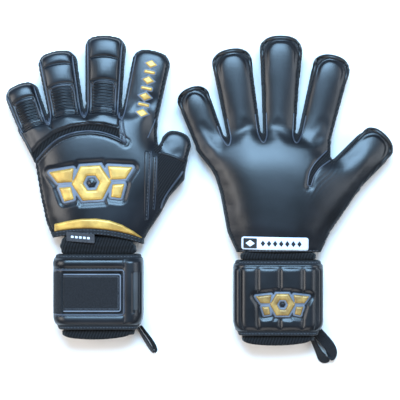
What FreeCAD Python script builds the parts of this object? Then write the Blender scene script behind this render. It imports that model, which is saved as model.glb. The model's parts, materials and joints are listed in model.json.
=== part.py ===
import FreeCAD, Part
import math
import os
from collections import namedtuple

# A pair of goalkeeper gloves on a flat surface: the left one with its back up, the right one with
# its palm up, both with the thumb on the +X side and the fingers along +Y. Millimetres, +Z up.
# The origin is on the surface, under the middle of the pair's box. Each glove is worked out from
# the middle of its own wrist line, and the whole pair is moved to the origin at the end.

# Driving sizes
WALL = 6.0  # latex foam with its lining
CLEAR = 0.4  # between pieces on different bodies
WRIST_SPACING = 178.0  # from one glove's middle to the other's
FINGER_THICK = 28.0
HAND_THICK = 38.0
WRIST_WIDTH = 89.0
WRIST_THICK = 42.0
FINGER_FLEX = 40.0  # degrees at each of a finger's two hinges
THUMB_FLEX = 40.0
WRIST_FLEX = 20.0

# Rounding
FINGER_CORNER = 12.0
FINGER_RIM = 9.0
HAND_CORNER = 6.0
HAND_RIM = 6.0
CUFF_CORNER = 14.0
CROWN = 4.0  # how far a fingertip's end bows out

# Wrist strap, its tab and what is under it
STRAP_LENGTH = 74.0  # along the forearm
STRAP_WALL = 7.0
BANDAGE_WALL = 2.5
BANDAGE_SHOWS = 9.0  # beyond the strap's far edge
TAB_SIZE = (58.0, 39.0)
TAB_THICK = 2.4
TAB_FROM_EDGE = 10.5  # from the strap's pinky edge
TAB_FROM_TOP = 18.0
FIELD_THICK = 1.0
TAB_CORNER = 6.0

# Pull loop: a webbing hairpin
WEBBING = 2.0
WEBBING_WIDTH = 11.0
LOOP_GAP = 7.0
LOOP_LENGTH = 22.0

# Printed and sewn-on pieces
INLAY = 2.0
PROUD = 1.0

SPLIT = FINGER_THICK / 2  # height of the seam between the palm and the back
SWING_SIDE = 4.0  # room beside a digit where it turns into the hand
ROOT = 26.0  # how far a finger's space runs back into the hand
FAR = 400.0
TINY = 1e-4

Digit = namedtuple("Digit", "name base lean length half_root half_tip knuckle flex")
Glove = namedtuple("Glove", "name palm_up middle digits pinky_side thumb_side hem strap_top loop knuckles gusset")

LEFT = Glove(
    name="left",
    palm_up=False,
    middle=0.0,
    digits=[
        Digit("pinky", (-64, 125), -20.6, 47, 14.5, 16.5, 24, FINGER_FLEX),
        Digit("ring", (-31.8, 136), -10.0, 67, 17.0, 19.3, 36, FINGER_FLEX),
        Digit("middle", (4.4, 138.6), 1.5, 79, 17.0, 20.3, 38, FINGER_FLEX),
        Digit("index", (39.5, 131), 11.7, 73, 17.3, 18.8, 37, FINGER_FLEX),
        Digit("thumb", (72, 95), 18.0, 28, 14.5, 14.5, None, THUMB_FLEX),
    ],
    pinky_side=[(-45, 15), (-52, 32), (-58, 60), (-63, 90)],
    thumb_side=[(85, 74), (70, 57), (61, 40), (50, 24), (45, 15)],
    hem=15.0,
    strap_top=0.0,
    loop=((43.5, -79.6), 150.0),
    knuckles=[(-90, 82), (-6, 118), (78, 82)],
    gusset=[(47, 99), (47, 14), (120, 14), (120, 104), (57, 104)],
)
RIGHT = Glove(
    name="right",
    palm_up=True,
    middle=WRIST_SPACING,
    digits=[
        Digit("pinky", (-65.8, 107.5), -21.0, 62, 14.8, 16.5, 32, FINGER_FLEX),
        Digit("ring", (-32.6, 113), -9.5, 92, 16.0, 19.8, 46, FINGER_FLEX),
        Digit("middle", (1.6, 113), 1.0, 104, 15.3, 21.0, 52, FINGER_FLEX),
        Digit("index", (35.6, 112), 13.6, 88, 16.0, 18.5, 44, FINGER_FLEX),
        Digit("thumb", (65, 76), 45.0, 60, 19.5, 19.0, None, THUMB_FLEX),
    ],
    pinky_side=[(-41, 2), (-50, 22), (-57, 60), (-65, 86)],
    thumb_side=[(66, 42), (52, 22), (43, 2)],
    hem=2.0,
    strap_top=-6.0,
    loop=((43, -89), 145.0),
    knuckles=[(-90, 62), (-6, 98), (78, 62)],
    gusset=[(45, 87), (42, 1), (120, 1), (120, 108)],
)
GLOVES = [LEFT, RIGHT]


def vec(x, y, z=0.0):
    return FreeCAD.Vector(x, y, z)


def along(digit, forward, sideways=0.0):
    """A place in the glove's plan, measured from a digit's hinge along its length and across it."""
    lean = math.radians(digit.lean)
    x = digit.base[0] + forward * math.sin(lean) + sideways * math.cos(lean)
    y = digit.base[1] + forward * math.cos(lean) - sideways * math.sin(lean)
    return x, y


def prism(points, low, high):
    """An upright solid on a polygon."""
    loop = [vec(x, y, low) for x, y in points]
    face = Part.Face(Part.makePolygon(loop + loop[:1]))
    return face.extrude(vec(0, 0, high - low))


def box(x, y, z):
    """A box from three (low, high) pairs."""
    return Part.makeBox(x[1] - x[0], y[1] - y[0], z[1] - z[0], vec(x[0], y[0], z[0]))


def upright(edge):
    ends = edge.Vertexes
    same_place = abs(ends[0].X - ends[-1].X) < TINY and abs(ends[0].Y - ends[-1].Y) < TINY
    return len(ends) == 2 and same_place


def at_height(edge, heights):
    return any(all(abs(v.Z - height) < TINY for v in edge.Vertexes) for height in heights)


def digit_block(digit, inset, rim):
    """A finger along +Y from its hinge at the origin, running back into the hand."""
    low = inset
    high = FINGER_THICK - inset
    root = digit.half_root - inset
    tip = digit.half_tip - inset
    end = digit.length - inset
    corners = [vec(-root, -ROOT, low), vec(root, -ROOT, low)]
    corners += [vec(tip, end - CROWN, low), vec(0, end, low), vec(-tip, end - CROWN, low)]
    bow = Part.Arc(corners[2], corners[3], corners[4]).toShape()
    side = Part.makePolygon([corners[4], corners[0], corners[1], corners[2]])
    face = Part.Face(Part.Wire(side.Edges + [bow]))
    solid = face.extrude(vec(0, 0, high - low))
    tips = [e for e in solid.Edges if upright(e) and e.Vertexes[0].Y > 0]
    solid = solid.makeFillet(FINGER_CORNER - inset, tips)
    if rim:
        solid = solid.makeFillet(rim, [e for e in solid.Edges if at_height(e, (low, high))])
    return solid


def side_profile(points, half_width):
    """A solid across a digit from an outline in its length and height."""
    loop = [vec(-half_width, y, z) for y, z in points]
    face = Part.Face(Part.makePolygon(loop + loop[:1]))
    return face.extrude(vec(2 * half_width, 0, 0))


def hinge_face(digit, place, palm_up, opens):
    """A hinge's cut in length and height, from the palm side up to the back.

    It is square above the hinge and leans by half the flex on the palm side: forwards where
    opens is 1, for the piece beyond the hinge, and backwards where it is -1.
    """
    middle = FINGER_THICK / 2
    reach = middle + HAND_THICK
    lean = opens * reach * math.tan(math.radians(digit.flex / 2 + 1.5))
    palm, back = (middle + reach, -HAND_THICK) if palm_up else (middle - reach, 2 * HAND_THICK)
    return [(place + lean, palm), (place, middle), (place, back)]


def length_slab(digit, start, end, palm_up):
    """The stretch of a digit from one hinge to the next, or past its tip where end is None."""
    outline = hinge_face(digit, start + CLEAR / 2, palm_up, 1)
    if end is None:
        outline += [(FAR, outline[2][1]), (FAR, outline[0][1])]
    else:
        outline += hinge_face(digit, end - CLEAR / 2, palm_up, -1)[::-1]
    return side_profile(outline, FAR)


def swing_room(digit, palm_up):
    """What is cut from the hand for a digit: all that lies beyond its hinge's own face."""
    outline = hinge_face(digit, -CLEAR / 2, palm_up, -1)
    outline += [(FAR, outline[2][1]), (FAR, outline[0][1])]
    return side_profile(outline, digit.half_root + SWING_SIDE)


def placed(shape, digit):
    """Turns and moves a digit's shape from its own frame to its place on the hand."""
    shape = shape.copy()
    shape.rotate(vec(0, 0), vec(0, 0, 1), -digit.lean)
    shape.translate(vec(digit.base[0], digit.base[1]))
    return shape


def below(shape):
    return shape.common(box((-FAR, FAR), (-FAR, FAR), (-FAR, SPLIT)))


def above(shape):
    return shape.common(box((-FAR, FAR), (-FAR, FAR), (SPLIT, FAR)))


def halves(shell, palm_up):
    """The palm half and the back half of a shell."""
    low, high = below(shell), above(shell)
    return (high, low) if palm_up else (low, high)


def digit_nodes(glove, digit):
    """The pieces of one finger or thumb."""
    shell = digit_block(digit, 0.0, FINGER_RIM).cut(digit_block(digit, WALL, 0.0))
    first = shell.common(length_slab(digit, 0.0, digit.knuckle, glove.palm_up))
    palm, back = halves(first, glove.palm_up)
    nodes = {digit.name + "_palm": placed(palm, digit), digit.name + "_back": placed(back, digit)}
    if digit.knuckle:
        tip = shell.common(length_slab(digit, digit.knuckle, None, glove.palm_up))
        nodes[digit.name + "_tip"] = placed(tip, digit)
    return nodes


def hand_outline(glove):
    """The hand's plan, from the pinky side of the hem round over the knuckles to the thumb side."""
    points = list(glove.pinky_side)
    for digit in glove.digits:
        points.append(along(digit, 3.0, -digit.half_root))
        points.append(along(digit, 3.0, digit.half_root))
    return points + list(glove.thumb_side)


def smooth_plan(points, radius):
    """A polygon's wire with its corners, inner and outer, rounded by offsetting out, in and out."""
    loop = [vec(x, y) for x, y in points]
    wire = Part.makePolygon(loop + loop[:1])
    wire = wire.makeOffset2D(radius, join=0)
    wire = wire.makeOffset2D(-2 * radius, join=0)
    return wire.makeOffset2D(radius, join=0)


def hand_room(glove):
    """The space inside the hand, open at the hem and into every digit."""
    plan = smooth_plan(hand_outline(glove), HAND_CORNER).makeOffset2D(-WALL, join=0)
    room = Part.Face(plan).extrude(vec(0, 0, HAND_THICK - 2 * WALL))
    room.translate(vec(0, 0, WALL))
    lowered = ramp(glove)
    lowered.translate(vec(0, 0, -WALL))
    room = room.cut(lowered)
    half_mouth = WRIST_WIDTH / 2 - WALL - 3
    mouth = box((-half_mouth, half_mouth), (glove.hem - 5, glove.hem + 12), (WALL, HAND_THICK - WALL))
    room = room.fuse(mouth)
    for digit in glove.digits:
        room = room.fuse(placed(digit_block(digit, WALL, 0.0), digit))
    return room


def ramp(glove):
    """What is cut off the top so that the hand thins towards the fingers."""
    foot = min(d.base[1] for d in glove.digits[:4]) + 6.0
    outline = [(foot - 34.0, HAND_THICK), (foot, FINGER_THICK), (FAR, FINGER_THICK),
               (FAR, FAR), (foot - 34.0, FAR)]
    return side_profile(outline, 250.0)


def hand_shell(glove):
    plan = smooth_plan(hand_outline(glove), HAND_CORNER)
    block = Part.Face(plan).extrude(vec(0, 0, HAND_THICK))
    rims = [e for e in block.Edges if at_height(e, (0.0, HAND_THICK))]
    block = block.makeFillet(HAND_RIM, rims)
    shell = block.cut(ramp(glove)).cut(hand_room(glove))
    for digit in glove.digits:
        shell = shell.cut(placed(swing_room(digit, glove.palm_up), digit))
    return shell


def arc_band(left, top, right, depth):
    """A plan face between an arc through three places and the same arc moved down by depth."""
    upper = Part.Arc(vec(*left), vec(*top), vec(*right)).toShape()
    lower = upper.copy()
    lower.translate(vec(0, -depth))
    sides = [Part.makeLine(vec(*end), vec(end[0], end[1] - depth)) for end in (left, right)]
    return Part.Face(Part.Wire([upper, sides[1], lower.reversed(), sides[0]]))


def rounded_plate(x, y, corner):
    """A plan face of a rectangle with round corners."""
    plate = box(x, y, (0.0, 1.0))
    plate = plate.makeFillet(corner, [e for e in plate.Edges if upright(e)])
    return [face for face in plate.Faces if face.CenterOfMass.z < TINY][0]


def inlay(face, top, upward):
    """A plate let into the upper or the lower skin, and the pocket that it lies in."""
    if upward:
        low, high = top - INLAY, top + PROUD
    else:
        low, high = 0.0, INLAY
    plate = face.extrude(vec(0, 0, high - low))
    plate.translate(vec(0, 0, low))
    return plate


def hand_nodes(glove):
    """The palm, the back in its three panels, and what is sewn or printed on them."""
    palm, back = halves(hand_shell(glove), glove.palm_up)
    back_up = not glove.palm_up
    knuckles = glove.knuckles
    dome = arc_band(knuckles[0], knuckles[1], knuckles[2], -FAR)
    fingers_end = dome.extrude(vec(0, 0, HAND_THICK))
    gusset = prism(glove.gusset, 0.0, HAND_THICK)
    knuckle_panel = back.common(fingers_end).cut(gusset)
    thumb_gusset = back.common(gusset)
    back = back.cut(fingers_end).cut(gusset)

    emblem = inlay(rounded_plate((-46, 34), (glove.hem + 36, glove.hem + 66), 8.0), HAND_THICK, back_up)
    left, top, right = (-43, glove.hem + 24), (0, glove.hem + 29), (40, glove.hem + 21)
    trim = inlay(arc_band(left, top, right, 10.0), HAND_THICK, back_up)
    tab_x, tab_y = (-31, -3), (glove.hem + 2, glove.hem + 11)
    label_tab = inlay(rounded_plate(tab_x, tab_y, 2.0), HAND_THICK, back_up)
    label_y = (glove.hem + 3, glove.hem + 17)
    palm_label = inlay(rounded_plate((-34, 30), label_y, 4.0), HAND_THICK, glove.palm_up)
    back = back.cut(emblem).cut(trim).cut(label_tab)
    thumb_gusset = thumb_gusset.cut(trim)
    palm = palm.cut(palm_label)
    return {
        "palm_latex": palm,
        "back_panel": back,
        "knuckle_panel": knuckle_panel,
        "thumb_gusset": thumb_gusset,
        "back_emblem": emblem,
        "trim_bar": trim,
        "label_tab": label_tab,
        "palm_label": palm_label,
    }


def cuff_tube(outer_inset, inner_inset, y):
    """A flat round-cornered tube about the wrist."""
    def solid(inset):
        height = (inset, WRIST_THICK - inset)
        half = WRIST_WIDTH / 2 - inset
        block = box((-half, half), y, height)
        long_edges = [e for e in block.Edges if abs(e.Vertexes[0].Y - e.Vertexes[-1].Y) > 1.0]
        return block.makeFillet(CUFF_CORNER - inset, long_edges)
    return solid(outer_inset).cut(solid(inner_inset))


def tab_place(glove, edge, low, high):
    """The hook tab's block, or a larger one, between two depths below the strap's skin.

    A larger one has more room at the hinge, where the tab's inner corner swings out.
    """
    left = -WRIST_WIDTH / 2 + TAB_FROM_EDGE
    top = glove.strap_top - TAB_FROM_TOP
    swing = TAB_THICK if edge else 0.0
    face = rounded_plate((left - edge - swing, left + TAB_SIZE[0] + edge),
                         (top - TAB_SIZE[1] - edge, top + edge), TAB_CORNER)
    plate = face.extrude(vec(0, 0, high - low))
    if glove.palm_up:
        plate.translate(vec(0, 0, low))
    else:
        plate.translate(vec(0, 0, WRIST_THICK - high))
    return plate


def cuff_nodes(glove):
    """The padded strap round the knit bandage, and the hook tab pressed into its recess."""
    far_end = glove.strap_top - STRAP_LENGTH
    strap = cuff_tube(0.0, STRAP_WALL, (far_end, glove.strap_top))
    bandage = cuff_tube(STRAP_WALL, STRAP_WALL + BANDAGE_WALL,
                        (far_end - BANDAGE_SHOWS, glove.strap_top))
    field_low = TAB_THICK + CLEAR
    field = tab_place(glove, 0.0, field_low, field_low + FIELD_THICK)
    pocket = tab_place(glove, 2 * CLEAR, -1.0, field_low)
    emblem_y = (far_end + 18, far_end + 46)
    emblem = inlay(rounded_plate((-24, 32), emblem_y, 8.0), WRIST_THICK, glove.palm_up)
    strap = strap.cut(pocket).cut(field).cut(emblem)
    return {
        "wrist_strap": strap,
        "bandage": bandage,
        "loop_field": field,
        "strap_emblem": emblem,
        "hook_tab": tab_place(glove, 0.0, 0.0, TAB_THICK),
    }


def pull_loop(glove):
    """A hairpin of webbing at the cuff's far edge. The left one stands on edge, the right lies flat."""
    half = (LOOP_GAP + 2 * WEBBING) / 2
    inner = half - WEBBING

    def stadium(radius):
        line = [Part.makeLine(vec(-radius, 0), vec(-radius, LOOP_LENGTH - half)),
                Part.Arc(vec(-radius, LOOP_LENGTH - half), vec(0, LOOP_LENGTH - half + radius),
                         vec(radius, LOOP_LENGTH - half)).toShape(),
                Part.makeLine(vec(radius, LOOP_LENGTH - half), vec(radius, 0))]
        return line + [Part.makeLine(vec(radius, 0), vec(-radius, 0))]

    loop = Part.Face(Part.Wire(stadium(half))).extrude(vec(0, 0, WEBBING_WIDTH))
    hole = Part.Face(Part.Wire(stadium(inner))).extrude(vec(0, 0, WEBBING_WIDTH))
    hole.translate(vec(0, WEBBING))
    loop = loop.cut(hole.common(box((-FAR, FAR), (0, LOOP_LENGTH - WEBBING), (-1, FAR))))
    place, heading = glove.loop
    if glove.palm_up:
        loop.rotate(vec(0, 0), vec(0, 1, 0), 90.0)
        loop.translate(vec(-WEBBING_WIDTH / 2, 0, half))
    loop.rotate(vec(0, 0), vec(0, 0, 1), -heading)
    loop.translate(vec(*place))
    return loop


def glove_nodes(glove):
    nodes = hand_nodes(glove)
    for digit in glove.digits:
        nodes.update(digit_nodes(glove, digit))
    nodes.update(cuff_nodes(glove))
    nodes["pull_loop"] = pull_loop(glove)
    for shape in nodes.values():
        shape.translate(vec(glove.middle, 0))
    return {glove.name + "_" + name: shape for name, shape in nodes.items()}


def pair():
    """Every node of the pair, and how far the pair is moved to its origin."""
    nodes = {}
    for glove in GLOVES:
        nodes.update(glove_nodes(glove))
    extent = Part.makeCompound(list(nodes.values())).BoundBox
    shift = vec(-extent.Center.x, -extent.Center.y)
    for shape in nodes.values():
        shape.translate(shift)
    return nodes, shift


NODES, SHIFT = pair()
os.makedirs("parts", exist_ok=True)
for node, shape in NODES.items():
    shape.exportStep("parts/" + node + ".step")
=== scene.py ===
import bpy
import json
import math
import numpy as np
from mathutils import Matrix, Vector

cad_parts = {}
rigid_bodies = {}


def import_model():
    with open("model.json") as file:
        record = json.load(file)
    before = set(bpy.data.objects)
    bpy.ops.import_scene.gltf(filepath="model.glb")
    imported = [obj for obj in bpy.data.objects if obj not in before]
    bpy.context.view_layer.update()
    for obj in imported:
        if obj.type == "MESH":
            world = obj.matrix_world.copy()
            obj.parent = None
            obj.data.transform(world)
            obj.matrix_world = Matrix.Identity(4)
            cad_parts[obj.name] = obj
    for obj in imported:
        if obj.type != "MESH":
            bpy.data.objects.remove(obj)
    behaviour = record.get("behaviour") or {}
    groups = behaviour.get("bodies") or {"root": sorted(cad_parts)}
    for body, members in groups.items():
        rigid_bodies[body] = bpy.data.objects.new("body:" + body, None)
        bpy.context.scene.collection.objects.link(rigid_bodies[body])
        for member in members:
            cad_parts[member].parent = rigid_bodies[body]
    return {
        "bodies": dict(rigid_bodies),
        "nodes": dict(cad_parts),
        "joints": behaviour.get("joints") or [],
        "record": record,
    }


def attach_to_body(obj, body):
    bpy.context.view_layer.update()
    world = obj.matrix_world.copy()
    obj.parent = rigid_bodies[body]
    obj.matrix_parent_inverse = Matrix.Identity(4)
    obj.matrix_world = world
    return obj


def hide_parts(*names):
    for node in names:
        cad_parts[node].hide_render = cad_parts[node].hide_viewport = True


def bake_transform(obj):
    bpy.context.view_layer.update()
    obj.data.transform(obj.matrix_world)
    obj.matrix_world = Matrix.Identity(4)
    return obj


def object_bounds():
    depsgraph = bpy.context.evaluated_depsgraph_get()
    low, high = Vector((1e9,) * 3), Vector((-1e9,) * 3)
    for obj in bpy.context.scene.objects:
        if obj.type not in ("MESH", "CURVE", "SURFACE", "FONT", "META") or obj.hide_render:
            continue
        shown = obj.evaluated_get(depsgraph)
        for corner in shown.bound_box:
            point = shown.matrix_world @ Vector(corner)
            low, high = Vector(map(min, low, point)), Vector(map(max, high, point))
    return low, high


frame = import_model()
CAD_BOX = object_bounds()
JOINTS = {joint["name"]: joint for joint in frame["record"]["behaviour"]["joints"]}

# ---------------------------------------------------------------- sizes, in millimetres
SEAM = 14.0  # height of the seam between palm and back
CREST = 14.0  # from the seam up to a finger's crest
HAND_SWELL = 9.5  # how much thicker the middle of the hand is
BACK_EDGE = 7.5  # how far in the skin rounds over: the back, the upturned palm and the lower skin
PALM_EDGE = 11.0
LOWER_EDGE = 8.0
PALM_DEPTH = 11.8  # from the seam down to the lower skin
ROOT_DIP = 2.5  # how far the upturned palm dips to the fingers' roots, and the fingers rise again
FINGER_RISE = 8.0
ROOT = 26.0  # how far a digit's shape runs back into the hand
ROOT_TAPER = 0.3
CROWN = 4.0  # how far a fingertip bows out
SQUARE_TIP = 8.5  # corner radius of the fingertips seen from the back, and from the palm
ROUND_TIP = 16.5
MELT = 4.0  # how softly digits and hand run together in plan
MIDDLE_ROOT = 138.6  # where the left middle finger starts; the points on the back are given for it
EDGE_CLEAR = 1.6  # how far inside the glove's edge its plates and seam lines stay
FIELD_STEP = 1.0
FIELD = (-112.0, 128.0, -64.0, 224.0)  # x and y range of a glove's height field
BEND_START = -3.0  # where a digit starts to bend at its base hinge, and where it has bent
BEND_END = 15.0
KNUCKLE_BEND = 9.0  # half the length of the bend at a finger's middle hinge
CLOTH_STEP = 4.0
CLOTH_FRAMES = 20
CLOTH_CAP = 5.0
CLOTH_PRESSURE = 4.0
CLOTH_SHARE = 0.55  # how much of the simulated swelling and puckering goes on to the skins
STRAP_LENGTH = 74.0
WRIST_HALF = 44.5
WRIST_THICK = 42.0
WRIST_CORNER = 14.0
WRIST_FLAT = WRIST_HALF - WRIST_CORNER
WRIST_SIDE = WRIST_THICK - 2 * WRIST_CORNER
QUARTER = WRIST_CORNER * math.pi / 2
HALF_GIRTH = 2 * WRIST_FLAT + 2 * QUARTER + WRIST_SIDE  # round the wrist from top middle to bottom middle
CUFF_FOOT = 1.9  # the cuff's underside stands this high, so that its quilting can swell below it
TAB_LEFT = -34.0
TAB_RIGHT = 24.0
TAB_TOP = 18.0  # below the strap's upper edge
TAB_BOTTOM = 57.0
ARCH = 0.013  # how strongly the ribs across a finger curve
RIB_PITCH = 3.0
HEM_WIDTH = 5.6
HEM_BOW = (4.4, -0.072, -0.0031)  # the left hem's height, slope and curve
TIP_ROLL = 5.8
ROLL_INSET = 2.7
STITCH_GAP = 3.2
STITCH_LENGTH = 2.1
TUBE_SIDES = 8
RIBBON = (11.0, 1.3)  # the pull loop's width and thickness
FAR = 1e9

# Places on the left back in plan; the right glove's are moved by its shift.
FLEX_UPPER = [(-66, 99), (-54.5, 111), (-42.8, 119.3), (-27, 125.3), (-10.4, 128.3), (6, 127), (20.5, 123.0)]
FLEX_LOWER = [(-61.5, 93), (-50, 105.5), (-38.3, 115), (-23, 120.4), (-6.8, 122.0), (8, 119.6), (21, 114.5),
              (27.5, 109.8)]
KNUCKLE_LOW = [(-70, 97), (-58.5, 110.5), (-44, 121), (-27.5, 127.2), (-10.4, 130.2), (6, 129), (19.6, 125.6)]
DOUBLE_SEAM = [(22.0, 137.0), (23.5, 124.0), (26.5, 109.5)]
THUMB_MESH = [(59, 99), (66, 99), (86, 91), (84, 80), (66, 57), (61, 42), (58.5, 60)]
THUMB_BANDS = [[(46.4, 102), (52.4, 102), (51.0, 70), (49.0, 34), (45.5, 34), (46.0, 70)],
               [(54.6, 97), (58.0, 97), (57.6, 70), (55.6, 44), (53.6, 44), (54.6, 70)]]
THUMB_PIPING = [(88, 90), (83, 80), (65.3, 57), (61.2, 43), (58, 36)]
THUMB_CAP = [(59.5, 100.5), (68, 99), (79, 95), (88, 91)]
BAR_RISE = [(44, 5.5), (35, 9.6), (24, 13.2), (12, 15.2), (-1, 15.8), (-16, 15.2), (-30, 14.0), (-43, 13.0)]
EMBLEM_PLACE = (-6.0, 70.5)
EMBLEM_TURN = -0.06
UPPER_WING = [(19.5, 2.6), (17.5, 15.0), (40.5, 12.5), (33.5, 2.6)]
LOWER_WING = [(21.0, -3.4), (19.0, -14.5), (27.5, -16.0), (31.5, -3.4)]
# The seam in from the web of the thumb, and half its gusset's width along it.
SLIT = [(1.5, 2.5), (-12.0, -8.0), (-18.0, -18.0), (-20.0, -29.0)]
SLIT_HALF = [5.0, 3.8, 3.0, 1.8]
# Places on the strap, across and down from its upper edge.
BADGE_PLACE = (3.5, 43.0)
BADGE_SCALE = 0.64
CHANNELS = [-37.5, -20.7, 1.4, 23.9, 37.5]
CHANNEL_ENDS = 47.0
STRAP_FRAME = [(-43.5, 15.2), (0, 15.2), (20.5, 15.2), (26, 15.2), (26, 21), (26, 53), (26, 59.2),
               (20.5, 59.2), (0, 59.2), (-43.5, 59.2)]
# Each pull loop's middle line, and which way its ribbon's width points.
LOOPS = {
    "left": [((37.5, -73.0, 6.0), (0.2, 0.1, 1.0)), ((42.5, -81.0, 6.0), (0.25, 0.15, 1.0)),
             ((47.5, -89.0, 6.0), (0.3, 0.2, 1.0)), ((51.5, -95.5, 6.0), (0.3, 0.2, 1.0)),
             ((54.5, -98.8, 6.5), (0.3, 0.2, 1.0)), ((56.5, -97.0, 7.0), (0.3, 0.2, 1.0)),
             ((54.0, -90.5, 7.5), (0.3, 0.2, 1.0)), ((47.5, -81.0, 7.5), (0.25, 0.15, 1.0)),
             ((41.0, -72.5, 7.5), (0.2, 0.1, 1.0))],
    "right": [((34.0, -82.0, 5.0), (0.35, 0.1, 1.0)), ((38.0, -91.0, 5.0), (0.4, 0.1, 1.0)),
              ((42.5, -100.0, 5.5), (0.5, 0.2, 0.9)), ((46.5, -106.0, 5.5), (0.9, 0.5, 0.5)),
              ((52.0, -105.0, 6.0), (0.9, 0.7, 0.3)), ((55.5, -99.5, 7.0), (1.0, 0.75, 0.1)),
              ((52.5, -92.5, 8.0), (1.0, 0.7, 0.0)), ((46.5, -85.5, 8.5), (1.0, 0.7, 0.0)),
              ((40.0, -78.5, 9.0), (1.0, 0.75, 0.0))],
}
RIBBON_SECTION = [(-0.5, -0.3), (-0.46, -0.5), (-0.2, -0.5), (0.2, -0.5), (0.46, -0.5), (0.5, -0.3),
                  (0.5, 0.3), (0.46, 0.5), (0.2, 0.5), (-0.2, 0.5), (-0.46, 0.5), (-0.5, 0.3)]


class Digit:
    """A finger or thumb: its hinge, direction and size in its glove's plan."""

    def __init__(self, glove, name, length, half_root, half_tip, knuckle):
        joint = JOINTS[glove.body(name) + "_flex"]
        self.glove = glove
        self.name = name
        self.side = np.array(joint["axis"][:2]) * (1.0 if glove.palm_up else -1.0)
        self.ahead = np.array([-self.side[1], self.side[0]])
        self.base = np.array(joint["pos_m"][:2]) * 1000 - glove.origin
        self.length = length
        self.half_root = half_root
        self.half_tip = half_tip
        self.knuckle = knuckle
        self.cut = (BEND_END + knuckle - KNUCKLE_BEND) / 2 if knuckle else FAR

    def local(self, x, y):
        """Places in the glove's plan as distances across and along the digit."""
        dx, dy = x - self.base[0], y - self.base[1]
        return dx * self.side[0] + dy * self.side[1], dx * self.ahead[0] + dy * self.ahead[1]

    def plan(self, across, along):
        x = self.base[0] + across * self.side[0] + along * self.ahead[0]
        y = self.base[1] + across * self.side[1] + along * self.ahead[1]
        return x, y

    def half(self, along):
        share = np.clip(along / self.length, 0.0, 1.0)
        return self.half_root + (self.half_tip - self.half_root) * share + ROOT_TAPER * np.minimum(along, 0.0)

    def distance(self, x, y):
        across, along = self.local(x, y)
        half = self.half(along)
        end = along - self.length + CROWN * (across / half) ** 2
        corner = ROUND_TIP if self.glove.palm_up else SQUARE_TIP
        return np.maximum(rounded_corner(np.abs(across) - half, end, corner), -ROOT - along)


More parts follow.
